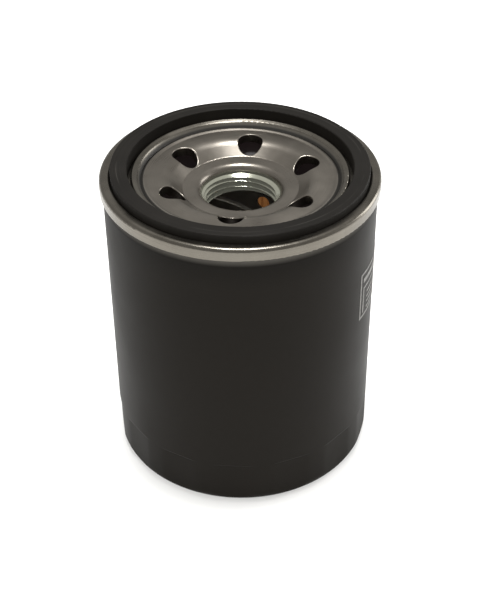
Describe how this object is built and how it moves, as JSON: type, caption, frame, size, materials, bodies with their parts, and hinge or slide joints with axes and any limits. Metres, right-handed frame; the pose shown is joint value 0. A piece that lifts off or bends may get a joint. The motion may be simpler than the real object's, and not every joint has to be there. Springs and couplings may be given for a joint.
{
  "type": "oil filter",
  "caption": "Spin-on engine oil filter: black drawn can with wrench flats, plated lid with a square gasket, and a base plate with inlet holes and a threaded hub.",
  "frame": {"origin": "centre of the closed end, on the plane the can stands on", "axes": "+Z along the can's axis, from the closed end to the gasket; +X and +Y across, with -Y towards the side seen in front"},
  "size_m": [0.0684, 0.0684, 0.0815],
  "materials": {
    "black_paint": "satin black enamel",
    "plated_lid": "dull zinc plating",
    "plated_plate": "dull zinc plating",
    "gasket_rubber": "matte black rubber",
    "valve_rubber": "smooth dark rubber",
    "seam_compound": "cured sealing compound",
    "cap_steel": "plain pressed steel",
    "tube_steel": "plain steel strip",
    "spring_steel": "oiled spring wire",
    "end_resin": "cured grey resin",
    "filter_paper": "resin-treated filter paper"
  },
  "bodies": {
    "housing": {"can": "black_paint", "gasket_retainer": "plated_lid", "seam_compound": "seam_compound", "gasket": "gasket_rubber", "base_plate": "plated_plate", "anti_drain_valve": "valve_rubber", "element_spring": "spring_steel"},
    "element": {"upper_end_cap": "cap_steel", "lower_end_cap": "cap_steel", "upper_adhesive": "end_resin", "lower_adhesive": "end_resin", "pleated_media": "filter_paper", "media_seam_clip": "cap_steel", "centre_tube": "tube_steel", "bypass_seat": "cap_steel", "bypass_cage": "cap_steel", "bypass_spring": "spring_steel", "spring_cup": "cap_steel"},
    "bypass": {"bypass_poppet": "cap_steel", "bypass_seal": "valve_rubber"}
  },
  "joints": [
    {"name": "element_float", "type": "slide", "parent": "housing", "child": "element", "axis": [0, 0, 1], "range_m": [-0.0015, 0], "stiffness_N_per_m": 6000, "springref_m": 0.003, "deforming": ["element_spring", "anti_drain_valve"]},
    {"name": "bypass_lift", "type": "slide", "parent": "element", "child": "bypass", "axis": [0, 0, 1], "range_m": [0, 0.003], "stiffness_N_per_m": 1200, "springref_m": -0.009, "deforming": ["bypass_spring"]}
  ]
}
